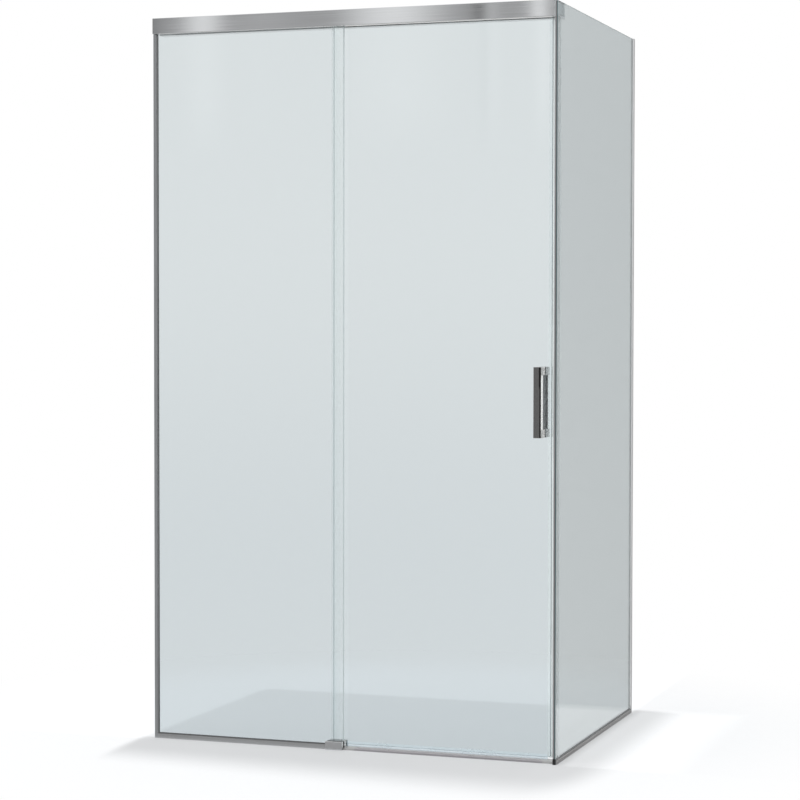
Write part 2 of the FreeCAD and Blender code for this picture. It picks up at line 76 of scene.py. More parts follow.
def ranged(tree, value, fromLow, fromHigh, toLow=0.0, toHigh=1.0, style="LINEAR"):
    sockets = {"Value": value, "From Min": fromLow, "From Max": fromHigh, "To Min": toLow,
               "To Max": toHigh}
    return put(tree, "ShaderNodeMapRange", sockets, interpolation_type=style).outputs[0]


def calc(tree, operation, *values):
    return put(tree, "ShaderNodeMath", dict(enumerate(values)), operation=operation).outputs[0]


def vectorCalc(tree, operation, *values):
    node = put(tree, "ShaderNodeVectorMath", dict(enumerate(values)), operation=operation)
    return node.outputs["Value" if operation in ("LENGTH", "DOT_PRODUCT") else "Vector"]


def larger(tree, first, *others):
    for other in others:
        first = calc(tree, "MAXIMUM", first, other)
    return first


def parted(tree, vector):
    return put(tree, "ShaderNodeSeparateXYZ", {0: vector}).outputs


def mixedShader(tree, share, first, second):
    return put(tree, "ShaderNodeMixShader", {0: share, 1: first, 2: second}).outputs[0]


def blended(tree, factor, first, second):
    node = tree.nodes.new("ShaderNodeMix")
    node.data_type = "RGBA"
    colours = [socket for socket in node.inputs if socket.type == "RGBA"]
    feed(tree, node.inputs[0], factor)
    feed(tree, colours[0], first)
    feed(tree, colours[1], second)
    return [socket for socket in node.outputs if socket.type == "RGBA"][0]


def grey(value, tint=0.0):
    # a tint above 0 takes away red and adds blue
    return (value * (1 - tint), value, value * (1 + tint), 1)


def newGroup(name, kind, inputs, outputs):
    # a tree with named inputs and outputs, and both ends' sockets
    tree = bpy.data.node_groups.new(name, kind)
    for label, sort, value in inputs:
        socket = tree.interface.new_socket(label, in_out="INPUT", socket_type="NodeSocket" + sort)
        if value is not None:
            socket.default_value = value
    for label, sort in outputs:
        tree.interface.new_socket(label, in_out="OUTPUT", socket_type="NodeSocket" + sort)
    return tree, tree.nodes.new("NodeGroupInput").outputs, tree.nodes.new("NodeGroupOutput").inputs


def useGroup(tree, group, sockets):
    node = tree.nodes.new("ShaderNodeGroup")
    node.node_tree = group
    for key, value in sockets.items():
        feed(tree, node.inputs[key], value)
    return node.outputs


# the shared effects; limits are the noise levels between which one grows from nothing to full
grainLook = {"detail": 3.0, "roughness": 0.6, "limits": (0.3, 0.7)}
filmLook = {"detail": 4.0, "limits": (0.42, 0.72)}
facingLimits = (0.6, 0.95)  # how far a face looks along the axis, from not at all to fully
toneStep = 0.5 * mm  # the length over which one tone turns into the next


def buildGrainGroup():
    # streaks: noise squeezed by Density, finer on the axis with the larger number
    tree, start, end = newGroup(
        "streakGrain", "ShaderNodeTree",
        [("Vector", "Vector", None), ("Density", "Vector", (10, 10, 10)), ("Low", "Float", 0.0),
         ("High", "Float", 1.0)],
        [("Value", "Float"), ("Height", "Float")],
    )
    scaled = vectorCalc(tree, "MULTIPLY", start["Vector"], start["Density"])
    noise = put(tree, "ShaderNodeTexNoise", {"Vector": scaled, "Scale": 1.0,
                                             "Detail": grainLook["detail"],
                                             "Roughness": grainLook["roughness"]}).outputs[0]
    spread = ranged(tree, noise, *grainLook["limits"], start["Low"], start["High"])
    tree.links.new(spread, end["Value"])
    tree.links.new(noise, end["Height"])
    return tree


def buildFilmGroup():
    # the faint uneven film that hands and water leave: it only moves the roughness a little
    tree, start, end = newGroup(
        "handFilm", "ShaderNodeTree",
        [("Vector", "Vector", None), ("Size", "Float", 6.0), ("Clean", "Float", 0.05),
         ("Worn", "Float", 0.12)],
        [("Roughness", "Float"), ("Mask", "Float")],
    )
    broad = put(tree, "ShaderNodeTexNoise", {"Vector": start["Vector"], "Scale": start["Size"],
                                             "Detail": filmLook["detail"]}).outputs[0]
    mask = ranged(tree, broad, *filmLook["limits"])
    tree.links.new(ranged(tree, mask, 0.0, 1.0, start["Clean"], start["Worn"]), end["Roughness"])
    tree.links.new(mask, end["Mask"])
    return tree


def buildFacingGroup():
    # Along is 1 where a face looks along Axis to either side, Towards only where it looks the same way
    tree, start, end = newGroup(
        "facing", "ShaderNodeTree",
        [("Normal", "Vector", None), ("Axis", "Vector", (0, 1, 0))],
        [("Along", "Float"), ("Across", "Float"), ("Towards", "Float")],
    )
    along = vectorCalc(tree, "DOT_PRODUCT", start["Normal"], start["Axis"])
    size = calc(tree, "ABSOLUTE", along)
    tree.links.new(ranged(tree, size, *facingLimits), end["Along"])
    tree.links.new(ranged(tree, size, *facingLimits, 1.0, 0.0), end["Across"])
    tree.links.new(ranged(tree, along, *facingLimits), end["Towards"])
    return tree


grainGroup = buildGrainGroup()
filmGroup = buildFilmGroup()
facingGroup = buildFacingGroup()


def newMaterial(name, **plain):
    material = bpy.data.materials.new(name)
    material.use_nodes = True
    tree = material.node_tree
    shader = tree.nodes["Principled BSDF"]
    for label, value in plain.items():
        shader.inputs[label.replace("_", " ")].default_value = value
    where = tree.nodes.new("ShaderNodeTexCoord").outputs
    return material, tree, shader, where


def facing(tree, where, axis):
    return useGroup(tree, facingGroup, {"Normal": where["Normal"], "Axis": axis})


def filmed(tree, where, size, clean, worn):
    return useGroup(tree, filmGroup, {"Vector": where["Object"], "Size": size, "Clean": clean,
                                      "Worn": worn})


def streaked(tree, where, density, low, high):
    return useGroup(tree, grainGroup, {"Vector": where["Object"], "Density": density, "Low": low,
                                       "High": high})


def grained(tree, shader, where, density, shades, rough, bump, reach):
    grain = streaked(tree, where, density, *rough)
    tree.links.new(grain["Value"], shader.inputs["Roughness"])
    relief = put(tree, "ShaderNodeBump", {"Strength": bump, "Distance": reach,
                                          "Height": grain["Height"]})
    tree.links.new(relief.outputs[0], shader.inputs["Normal"])
    return blended(tree, ranged(tree, grain["Height"], *grainLook["limits"]), *shades)


def passesLight(tree, surface, path, colour):
    # shadows and bounced light go straight through
    passing = larger(tree, path["Is Shadow Ray"], path["Is Diffuse Ray"])
    clear = put(tree, "ShaderNodeBsdfTransparent", {"Color": colour}).outputs[0]
    tree.links.new(mixedShader(tree, passing, surface, clear),
                   tree.nodes["Material Output"].inputs["Surface"])


glassLook = {
    "IOR": 1.5,
    "clear": (0.985, 0.995, 0.993, 1),  # for all but the camera's rays, so that panes can overlap
    "tintHeights": (0.45, 1.45),  # between these the panes grow paler: painted shade that leaves them darker towards the bottom
    "filmSize": 3.0,
    "film": 0.012,
    "rimRoughness": 0.42,
    "ground": 0.92,  # how matt the ground edges are
    "shadow": (0.93, 0.95, 0.95, 1),
}


def makeGlass(name, axis, tint, topTint, edgeColour):
    # edgeColour gives the ground edges' colour, from the tree and the place on the pane: the ground
    # glass's own colour with painted light that the glass carries inside it
    look = glassLook
    material, tree, shader, where = newMaterial(name, IOR=look["IOR"], Transmission_Weight=1.0,
                                                Metallic=0.0)
    path = tree.nodes.new("ShaderNodeLightPath").outputs
    rim = facing(tree, where, axis)["Across"]
    edge = edgeColour(tree, where)
    # painted shade: the tint grows paler above, so the panes are darker towards the bottom
    up = ranged(tree, parted(tree, where["Object"])["Z"], *look["tintHeights"], style="SMOOTHSTEP")
    first = blended(tree, path["Is Camera Ray"], look["clear"], blended(tree, up, tint, topTint))
    tree.links.new(blended(tree, rim, first, edge), shader.inputs["Base Color"])
    film = filmed(tree, where, look["filmSize"], 0.0, look["film"])
    tree.links.new(ranged(tree, rim, 0.0, 1.0, film["Roughness"], look["rimRoughness"]),
                   shader.inputs["Roughness"])
    ground = put(tree, "ShaderNodeBsdfDiffuse", {"Color": edge}).outputs[0]
    matt = calc(tree, "MULTIPLY", rim, look["ground"])
    passesLight(tree, mixedShader(tree, matt, shader.outputs[0], ground), path, look["shadow"])
    return material


frontEdge = {  # the ground edges of the fixed pane and the door, in tones partly their own and partly painted light carried inside the glass
    "fixed": (0.64, 0.72, 0.73, 1),
    "closing": (0.78, 0.85, 0.87, 1),  # the door's side that meets the strike seal, painted paler than the fixed pane's edge
    "closingFrom": (0.1, 0.2),
    "inGuide": grey(0.10),  # the fixed pane's end inside the floor guide, darkened by painted shade
    "fade": mm,
}


def paleEdge(tree, where):
    look = frontEdge
    parts = parted(tree, where["Object"])
    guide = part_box("guide_body")[1]
    beside = guide.x + look["fade"]
    out = larger(tree, ranged(tree, parts["Z"], guide.z, guide.z + 2 * look["fade"]),
                 ranged(tree, parts["X"], beside, beside + look["fade"]))
    pale = blended(tree, ranged(tree, parts["X"], *look["closingFrom"]), look["fixed"], look["closing"])
    return blended(tree, out, look["inGuide"], pale)


sideEdge = {  # the side pane's ground edge: pale rims with two bands of painted shade, grey and green, between them
    "pale": (0.56, 0.62, 0.63, 1),
    "grey": (0.225, 0.205, 0.213, 1),
    "green": (0.100, 0.145, 0.152, 1),
    # from the inside to the outside of the pane, in pane thicknesses
    "stops": [(0.10, "pale"), (0.20, "grey"), (0.46, "grey"), (0.56, "green"), (0.84, "green"),
              (0.94, "pale")],
}


def linedEdge(tree, where):
    look = sideEdge
    low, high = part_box("side_glass")
    across = parted(tree, where["Object"])["X"]
    ramp = put(tree, "ShaderNodeValToRGB", {0: ranged(tree, across, low.x, high.x)})
    stops = ramp.color_ramp.elements
    while len(stops) < len(look["stops"]):
        stops.new(1.0)
    for stop, (place, shade) in zip(stops, look["stops"]):
        stop.position = place
        stop.color = look[shade]
    return ramp.outputs[0]


vinylLook = {
    "IOR": 1.06,  # close to air, so that the thin lips hardly bend what lies behind them
    "filmSize": 25.0,
    "nose": (0.86, 0.90, 0.91, 1),
    "noseFade": 0.2 * mm,
    "shadow": (0.95, 0.96, 0.96, 1),
}


def makeSeal(name, colour, milky, rough, nose=None):
    # soft clear vinyl, a little cloudy in places, and paler from x = nose on
    look = vinylLook
    material, tree, shader, where = newMaterial(name, IOR=look["IOR"], Transmission_Weight=1.0,
                                                Metallic=0.0)
    path = tree.nodes.new("ShaderNodeLightPath").outputs
    film = filmed(tree, where, look["filmSize"], *rough)
    tree.links.new(film["Roughness"], shader.inputs["Roughness"])
    first = blended(tree, film["Mask"], colour, milky)
    if nose:
        past = ranged(tree, parted(tree, where["Object"])["X"], nose - look["noseFade"], nose)
        first = blended(tree, past, first, look["nose"])
    tree.links.new(blended(tree, path["Is Camera Ray"], glassLook["clear"], first),
                   shader.inputs["Base Color"])
    passesLight(tree, shader.outputs[0], path, look["shadow"])
    return material


def makeBrushed(name, density, shades, rough, bump, reach=0.2 * mm, shaded=None):
    # shaded gives a direction, the painted shade of the faces that look that way, and how far back they
    # lie
    material, tree, shader, where = newMaterial(name, Metallic=1.0)
    shade = grained(tree, shader, where, density, shades, rough, bump, reach)
    if shaded:
        direction, colour, back = shaded
        side = facing(tree, where, direction)["Towards"]
        depth = parted(tree, where["Object"])["Y"]
        shade = blended(tree, ranged(tree, depth, back - toneStep, back, side, 0.0), shade, colour)
    tree.links.new(shade, shader.inputs["Base Color"])
    return material


def makeMoulded(name, size, shades, rough, bump, reach=0.1 * mm):
    material, tree, shader, where = newMaterial(name)
    shade = grained(tree, shader, where, (size, size, size), shades, rough, bump, reach)
    tree.links.new(shade, shader.inputs["Base Color"])
    return material


pullLook = {
    # the tones by facing are painted reflection: bright sides and darker faces of one polished metal
    "side": 0.60,
    "legSide": 0.34,
    "face": 0.235,
    "innerFace": 0.34,
    "leg": 0.022,  # the height of each leg, at the bar's two ends
    "line": 0.03,  # a line of painted shade along the outer face's right side, wider in its upper part
    "lineWidths": (0.0046, 0.0062),
    "lineStep": (0.035, 0.045),
    "lineFade": (0.85, 1.1),  # in line widths
    "mirror": (0.03, 0.06),
    "filmSize": 40.0,
    "satin": (0.22, 0.34),
    "satinDensity": (900, 40, 60),
}


def makePullMetal():
    # dark satin faces with a black line of painted shade at one side, mirror sides on the bar, satin
    # ones on the legs; the tones by facing are painted reflection
    look = pullLook
    low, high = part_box("handle_outer")
    middle, half = (low.z + high.z) / 2, (high.z - low.z) / 2 - look["leg"]
    material, tree, shader, where = newMaterial("pullMetal", Metallic=1.0)
    place = parted(tree, where["Object"])
    above = calc(tree, "SUBTRACT", place["Z"], middle)
    ends = ranged(tree, calc(tree, "ABSOLUTE", above), half - toneStep, half + toneStep)
    face = facing(tree, where, (0, 1, 0))["Along"]
    side = blended(tree, ends, grey(look["side"]), grey(look["legSide"]))
    inset = calc(tree, "SUBTRACT", high.x, place["X"])
    share = calc(tree, "DIVIDE", inset, ranged(tree, above, *look["lineStep"], *look["lineWidths"]))
    front = blended(tree, ranged(tree, share, *look["lineFade"]), grey(look["line"]),
                    grey(look["face"]))
    inner = ranged(tree, place["Y"], high.y, high.y + 2 * toneStep)
    front = blended(tree, inner, front, grey(look["innerFace"]))
    tree.links.new(blended(tree, face, side, front), shader.inputs["Base Color"])
    film = filmed(tree, where, look["filmSize"], *look["mirror"])
    satin = streaked(tree, where, look["satinDensity"], *look["satin"])
    tree.links.new(ranged(tree, larger(tree, ends, face), 0.0, 1.0, film["Roughness"], satin["Value"]),
                   shader.inputs["Roughness"])
    return material


doorLow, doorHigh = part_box("door_glass")
down, up = (0, 0, -1), (0, 0, 1)
# the panes' tints: the glass's own green, darkened with painted shade for what lies behind them; the
# side pane's is painted darker than the fronts'
sideTint = (0.35, 0.405, 0.42, 1)

paneLooks = {
    "frontGlass": {"axis": (0, 1, 0), "tint": (0.415, 0.48, 0.51, 1),
                   "topTint": (0.50, 0.565, 0.585, 1), "edgeColour": paleEdge},
    "sideGlass": {"axis": (1, 0, 0), "tint": sideTint, "topTint": sideTint, "edgeColour": linedEdge},
}
# streaks run along the axis with the smallest density; shades and roughness go from low to high
brushedLooks = {
    "brushedHeader": {"density": (5, 700, 700), "shades": (grey(0.64, 0.018), grey(0.70, 0.018)),
                      # the header's undersides carry painted shade
                      "rough": (0.05, 0.09), "bump": 0.03, "shaded": (down, grey(0.27), cadHigh.y)},
    "satinUpright": {"density": (700, 700, 5), "shades": (grey(0.44, 0.03), grey(0.54, 0.03)),
                     "rough": (0.26, 0.38), "bump": 0.15},
    "satinAlong": {"density": (5, 700, 700), "shades": (grey(0.46, 0.015), grey(0.56, 0.015)),
                   "rough": (0.26, 0.38), "bump": 0.15},
    "satinRear": {"density": (700, 700, 5), "shades": (grey(0.76, 0.01), grey(0.86, 0.01)),
                  "rough": (0.26, 0.38), "bump": 0.15},
    "satinInwards": {"density": (700, 5, 700), "shades": (grey(0.44), grey(0.54)),
                     "rough": (0.20, 0.30), "bump": 0.15},
    "brightInside": {"density": (5, 700, 700), "shades": (grey(0.82), grey(0.88)),
                     # the undersides in front of the door pane carry painted shade
                     "rough": (0.30, 0.42), "bump": 0.1, "shaded": (down, grey(0.62), doorLow.y)},
    "thresholdMetal": {"density": (5, 700, 700), "rough": (0.30, 0.42), "bump": 0.15,
                       "shades": ((0.38, 0.365, 0.385, 1), (0.45, 0.435, 0.455, 1))},
    "guideMetal": {"density": (60, 60, 60), "shades": (grey(0.58, 0.02), grey(0.64, 0.02)),
                   # the guide's top carries painted shade
                   "rough": (0.14, 0.22), "bump": 0.04, "shaded": (up, grey(0.20, 0.03), cadHigh.y)},
    "steelFittings": {"density": (300, 300, 300), "shades": (grey(0.50), grey(0.60)),
                      "rough": (0.25, 0.40), "bump": 0.12},
}
gasketSkin = {"size": 600, "rough": (0.45, 0.65), "bump": 0.2}
mouldedLooks = {
    "darkGasket": {"shades": (grey(0.10, 0.02), grey(0.14, 0.02)), **gasketSkin},
    "greyGasket": {"shades": (grey(0.18, 0.02), grey(0.22, 0.02)), **gasketSkin},
    "paleGasket": {"shades": (grey(0.66, 0.01), grey(0.72, 0.01)), **gasketSkin},
    "bondPad": {"shades": (grey(0.78, 0.02), grey(0.84, 0.02)), "rough": (0.5, 0.7), "size": 400,
                "bump": 0.1},
    "blackCap": {"shades": (grey(0.010), grey(0.016)), "rough": (0.35, 0.5), "size": 900, "bump": 0.25},
    "settingRubber": {"shades": (grey(0.02), grey(0.035)), "rough": (0.6, 0.8), "size": 500,
                      "bump": 0.3},
    "lightCap": {"shades": (grey(0.40), grey(0.46)), "rough": (0.35, 0.5), "size": 900, "bump": 0.2},
    "whiteNylon": {"shades": (grey(0.66), grey(0.74)), "rough": (0.35, 0.5), "size": 700, "bump": 0.15},
    "magnetStrip": {"shades": (grey(0.76), grey(0.82)), "rough": (0.5, 0.7), "size": 500, "bump": 0.2},
}
# the vinyl's dark tints are partly its own colour and partly painted shade for what lies behind it
clearVinyl = {"colour": (0.48, 0.55, 0.57, 1), "milky": (0.44, 0.51, 0.53, 1), "rough": (0.04, 0.10)}
vinylLooks = {
    "clearSeal": clearVinyl,
    "magnetSeal": {**clearVinyl, "nose": doorHigh.x},
    "cloudySeal": {"colour": (0.47, 0.56, 0.62, 1), "milky": (0.42, 0.51, 0.57, 1),
                   "rough": (0.20, 0.34)},
}

finishes = {"pullMetal": makePullMetal()}
for maker, looks in ((makeGlass, paneLooks), (makeBrushed, brushedLooks), (makeMoulded, mouldedLooks),
                     (makeSeal, vinylLooks)):
    for name, look in looks.items():
        finishes[name] = maker(name, **look)
print("finishes made:", len(finishes))

nodeFinishes = {
    "frontGlass": ["fixed_glass", "door_glass"],
    "sideGlass": ["side_glass"],
    "brushedHeader": ["header_fascia", "header_end_plate"],
    "satinUpright": ["wall_channel_left"],
    "satinAlong": ["bottom_profile_short", "bottom_profile_long"],
    "satinRear": ["wall_channel_rear"],
    "brightInside": ["header_body", "header_infill"],
    "satinInwards": ["side_bottom_profile"],
    "thresholdMetal": ["threshold_profile"],
    "pullMetal": ["handle_outer", "handle_inner"],
    "guideMetal": ["guide_body"],
    "steelFittings": ["carriage_left", "carriage_right", "clamp_discs", "clamp_bolts", "roller_axles",
                      "handle_studs", "track_rail", "header_wall_bracket", "header_bracket_screws",
                      "header_end_screws", "stop_screws", "stop_block_left", "stop_block_right"],
    "darkGasket": ["bottom_gaskets", "carriage_gaskets", "stop_buffers", "guide_pads"],
    "greyGasket": ["wall_gaskets_left", "side_bottom_gaskets"],
    "paleGasket": ["header_gaskets", "wall_gaskets_rear"],
    "bondPad": ["header_bond_pad"],
    "settingRubber": ["fixed_glass_blocks", "header_glass_blocks", "side_glass_blocks"],
    "clearSeal": ["door_bottom_seal", "door_overlap_seal", "door_magnetic_seal", "strike_seal",
                  "handle_gaskets"],
    "magnetStrip": ["door_magnet", "strike_magnet"],
    "whiteNylon": ["glass_sleeves", "anti_lift_pads", "guide_liner", "roller_1", "roller_2",
                   "roller_3", "roller_4"],
    "lightCap": ["threshold_cap_left", "threshold_cap_right", "rear_channel_foot"],
    "blackCap": ["side_profile_end_cap"],
}
for finish, names in nodeFinishes.items():
    for name in names:
        mesh = nodes[name].data
        mesh.materials.clear()
        mesh.materials.append(finishes[finish])


# two trees for the finer pieces: one sweeps a drawn section, the other repeats a screw
def newGeometryTree(name, inputs):
    geometry = ("Geometry", "Geometry")
    inputs = [(*geometry, None), *inputs, ("Material", "Material", None)]
    return newGroup(name, "GeometryNodeTree", inputs, [geometry])


def joined(tree, *parts):
    whole = tree.nodes.new("GeometryNodeJoinGeometry")
    for part in parts:
        tree.links.new(part, whole.inputs[0])
    return whole.outputs[0]


def endTree(tree, geometry, material, end):
    real = put(tree, "GeometryNodeRealizeInstances", {0: geometry}).outputs[0]
    done = put(tree, "GeometryNodeSetMaterial", {"Geometry": real, "Material": material}).outputs[0]
    tree.links.new(done, end[0])


def buildSweepTree():
    tree, start, end = newGeometryTree(
        "sweptSection",
        [("Length", "Float", 1.0), ("Start", "Vector", (0, 0, 0)), ("Turn", "Vector", (0, 0, 0))],
    )
    face = put(tree, "GeometryNodeFillCurve", {0: start["Geometry"]}).outputs[0]
    upward = put(tree, "ShaderNodeCombineXYZ", {"Z": 1.0}).outputs[0]
    wall = put(tree, "GeometryNodeExtrudeMesh", {"Mesh": face, "Offset": upward, "Individual": False,
                                                 "Offset Scale": start["Length"]}).outputs[0]
    base = put(tree, "GeometryNodeFlipFaces", {"Mesh": face}).outputs[0]
    closed = put(tree, "GeometryNodeMergeByDistance", {"Geometry": joined(tree, wall, base),
                                                       "Distance": 0.001 * mm}).outputs[0]
    placed = put(tree, "GeometryNodeTransform", {"Geometry": closed, "Translation": start["Start"],
                                                 "Rotation": start["Turn"]}).outputs[0]
    endTree(tree, placed, start["Material"], end)
    return tree


def buildScrewTree():
    tree, start, end = newGeometryTree(
        "socketScrews",
        [("Head Radius", "Float", 0.0055), ("Head Height", "Float", 0.0025),
         ("Shank Radius", "Float", 0.003), ("Shank Length", "Float", 0.02),
         ("Socket Radius", "Float", 0.0023), ("Turn", "Vector", (0, 0, 0))],
    )
    # shares of the head: its straight rim, the tapered crown's top and the socket's floor
    rimShare, crownTop, socketFloor = 0.6, 0.8, 0.4
    headSides, socketSides, shankSides = 40, 6, 32

    def times(value, factor):
        return calc(tree, "MULTIPLY", value, factor)

    def raised(mesh, height):
        offset = put(tree, "ShaderNodeCombineXYZ", {"Z": height}).outputs[0]
        return put(tree, "GeometryNodeTransform", {"Geometry": mesh, "Translation": offset}).outputs[0]

    def cylinder(sides, radius, depth):
        return put(tree, "GeometryNodeMeshCylinder", {"Vertices": sides, "Radius": radius,
                                                      "Depth": depth}).outputs[0]

    height = start["Head Height"]
    rim = cylinder(headSides, start["Head Radius"], times(height, rimShare))
    crown = put(tree, "GeometryNodeMeshCone", {"Radius Bottom": start["Head Radius"],
                                               "Radius Top": times(start["Head Radius"], crownTop),
                                               "Depth": times(height, 1 - rimShare),
                                               "Vertices": headSides}).outputs[0]
    head = joined(tree, raised(rim, times(height, rimShare / 2)),
                  raised(crown, times(height, rimShare)))
    socket = raised(cylinder(socketSides, start["Socket Radius"], height),
                    times(height, socketFloor + 0.5))
    cut = put(tree, "GeometryNodeMeshBoolean", {0: head, 1: socket}, operation="DIFFERENCE").outputs[0]
    shank = cylinder(shankSides, start["Shank Radius"], start["Shank Length"])
    whole = joined(tree, cut, raised(shank, times(start["Shank Length"], -0.5)))
    turned = put(tree, "GeometryNodeTransform", {"Geometry": whole,
                                                 "Rotation": start["Turn"]}).outputs[0]
    points = put(tree, "GeometryNodeMeshToPoints", {"Mesh": start["Geometry"]}).outputs[0]
    repeated = put(tree, "GeometryNodeInstanceOnPoints", {"Points": points,
                                                          "Instance": turned}).outputs[0]
    endTree(tree, repeated, start["Material"], end)
    return tree


sweepTree = buildSweepTree()
screwTree = buildScrewTree()


def grownPiece(name, source, tree, values):
    # runs a tree on a source object and keeps the result as a plain mesh
    bpy.context.scene.collection.objects.link(source)
    modifier = source.modifiers.new("grow", "NODES")
    modifier.node_group = tree
    for item in tree.interface.items_tree:
        if item.in_out == "INPUT" and item.name in values:
            modifier[item.identifier] = values[item.name]
    bpy.context.view_layer.update()
    ready = source.evaluated_get(bpy.context.evaluated_depsgraph_get())
    mesh = bpy.data.meshes.new_from_object(ready)
    bpy.data.objects.remove(source)
    mesh.name = name
    piece = bpy.data.objects.new(name, mesh)
    bpy.context.scene.collection.objects.link(piece)
    return piece


def sectionCurve(name, loops):
    curve = bpy.data.curves.new(name, "CURVE")
    curve.dimensions = "2D"
    for loop in loops:
        line = curve.splines.new("POLY")
        line.points.add(len(loop) - 1)
        line.use_cyclic_u = True
        for point, (x, y) in zip(line.points, loop):
            point.co = (x * mm, y * mm, 0, 1)
    return bpy.data.objects.new(name, curve)


def sweptSeal(name, node, loops, start, length, turn, finish, body):
    piece = grownPiece(name, sectionCurve(name + "Section", loops), sweepTree,
                       {"Length": length, "Start": start, "Turn": turn, "Material": finishes[finish]})
    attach(piece, body)
    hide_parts(node)


# the sections are drawn in millimetres from the edge of the pane that carries the seal
sealLook = {
    "pane": 4.15,  # half a pane and a hair more, so that the faces stay apart
    "gap": 0.15,  # between the seal and the pane's edge
    "outside": 5.0,  # half the width of what grips a pane
    "grip": 8.0,  # how far it reaches over the pane
    "nose": 5.5,  # half the width of what holds a magnet
    "magnet": 3.6,  # half the width of the magnet's slot
    "magnetSpan": (0.9, 4.1),  # the slot's two sides, from the seal's face
    "corner": 0.4,
}
paneMiddle = (doorLow.y + doorHigh.y) / 2
upright = (0, 0, 0)
alongFoot = (math.radians(90), 0, math.radians(90))


def bothSides(points):
    # a section from one half, mirrored at the middle of the pane
    return points + [(x, -y) for x, y in reversed(points)]


def makeBottomWiper():
    pane, outside = sealLook["pane"], sealLook["outside"]
    low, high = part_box("door_bottom_seal")
    top = (high.z - doorLow.z) / mm
    fin = (low.z - doorLow.z) / mm
    # here x runs across the pane and y runs up, swept along the pane's foot
    flank = [(outside, -1.5), (outside, top - 0.8), (outside - 0.3, top), (outside - 0.6, top),
             (pane, top - 0.9), (pane, -0.1)]
    fins = [(3.4, -1.9), (1.9, fin + 0.3), (1.4, fin), (0.9, fin + 0.3), (1.5, -2.1), (-0.4, -2.1),
            (-1.5, fin + 0.3), (-2.0, fin), (-2.5, fin + 0.4), (-1.8, -1.9), (-3.4, -1.9)]
    wiper = [(-x, y) for x, y in flank] + flank[::-1] + fins
    sweptSeal("bottomWiper", "door_bottom_seal", [wiper], (low.x, paneMiddle, doorLow.z),
              high.x - low.x, alongFoot, "cloudySeal", "door")


def makeOverlapStrip():
    pane, gap, outside = sealLook["pane"], sealLook["gap"], sealLook["outside"]
    grip, corner = sealLook["grip"], sealLook["corner"]
    low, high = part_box("door_overlap_seal")
    cover = (high.x - doorLow.x) / mm
    tip = (low.y - paneMiddle) / mm
    bracket = [(-1.5, -outside), (-1.5, outside - corner), (-1.1, outside), (grip - corner, outside),
               (grip, 4.7), (grip - corner, pane), (-gap, pane), (-gap, -pane), (cover - corner, -pane),
               (cover, -4.5), (cover - corner, -outside), (0.3, -outside)]
    lip = [(-0.3, -9.5), (0.5, -14.0), (0.1, tip + 0.4), (-0.4, tip), (-0.9, tip + 0.3), (-0.6, -14.0),
           (-1.4, -9.5)]
    sweptSeal("overlapStrip", "door_overlap_seal", [bracket + lip], (doorLow.x, paneMiddle, low.z),
              high.z - low.z, upright, "clearSeal", "door")


def makeMagnetEdge():
    pane, gap, outside = sealLook["pane"], sealLook["gap"], sealLook["outside"]
    grip, nose, corner = sealLook["grip"], sealLook["nose"], sealLook["corner"]
    magnet, (near, far) = sealLook["magnet"], sealLook["magnetSpan"]
    low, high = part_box("door_magnetic_seal")
    reach = (high.x - doorHigh.x) / mm
    clip = bothSides([(-gap, pane), (-grip, pane), (-grip, outside), (0.6, outside), (1.2, nose),
                      (reach - corner, nose), (reach, nose - corner)])
    chamber = bothSides([(0.9, -3.9), (3.3, -4.4)])
    slot = bothSides([(reach - far, -magnet), (reach - near, -magnet)])
    sweptSeal("magnetEdge", "door_magnetic_seal", [clip, chamber, slot],
              (doorHigh.x, paneMiddle, low.z), high.z - low.z, upright, "magnetSeal", "door")


def makeStrikeStrip():
    gap, nose, corner = sealLook["gap"], sealLook["nose"], sealLook["corner"]
    magnet, (near, far) = sealLook["magnet"], sealLook["magnetSpan"]
    low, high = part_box("strike_seal")
    face = (low.x - high.x) / mm
    strike = bothSides([(-gap, -12.5), (-0.5, -12.5), (-1.0, -11.8), (-1.0, -6.1), (-1.4, -nose),
                        (face + corner, -nose), (face, corner - nose)])
    slot = bothSides([(face + near, -magnet), (face + far, -magnet)])
    sweptSeal("strikeStrip", "strike_seal", [strike, slot], (high.x, paneMiddle, low.z),
              high.z - low.z, upright, "clearSeal", "enclosure")


clampLook = {
    "spacing": 0.028,
    "drop": 0.005,
    "headRadius": 0.0055,
    "headHeight": 0.0025,
    "shankRadius": 0.003,
    "socketRadius": 0.0024,
}


def makeClampScrews():
    look = clampLook
    low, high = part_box("clamp_bolts")
    places = []
    for name in ("carriage_left", "carriage_right"):
        plateLow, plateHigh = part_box(name)
        x = (plateLow.x + plateHigh.x) / 2
        level = (plateLow.z + plateHigh.z) / 2 - look["drop"]
        for side in (-0.5, 0.5):
            places.append((x + side * look["spacing"], low.y + look["headHeight"], level))
    mesh = bpy.data.meshes.new("clampPlaces")
    mesh.from_pydata(places, [], [])
    piece = grownPiece(
        "clampScrews", bpy.data.objects.new("clampPlaces", mesh), screwTree,
        {"Head Radius": look["headRadius"], "Head Height": look["headHeight"],
         "Shank Radius": look["shankRadius"], "Shank Length": high.y - low.y - look["headHeight"],
         "Socket Radius": look["socketRadius"], "Turn": (math.radians(90), 0, 0),
         "Material": finishes["steelFittings"]},
    )
    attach(piece, "door")
    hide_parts("clamp_bolts")


makeBottomWiper()
makeOverlapStrip()
makeMagnetEdge()
makeStrikeStrip()
makeClampScrews()
print("seals and clamp screws made")


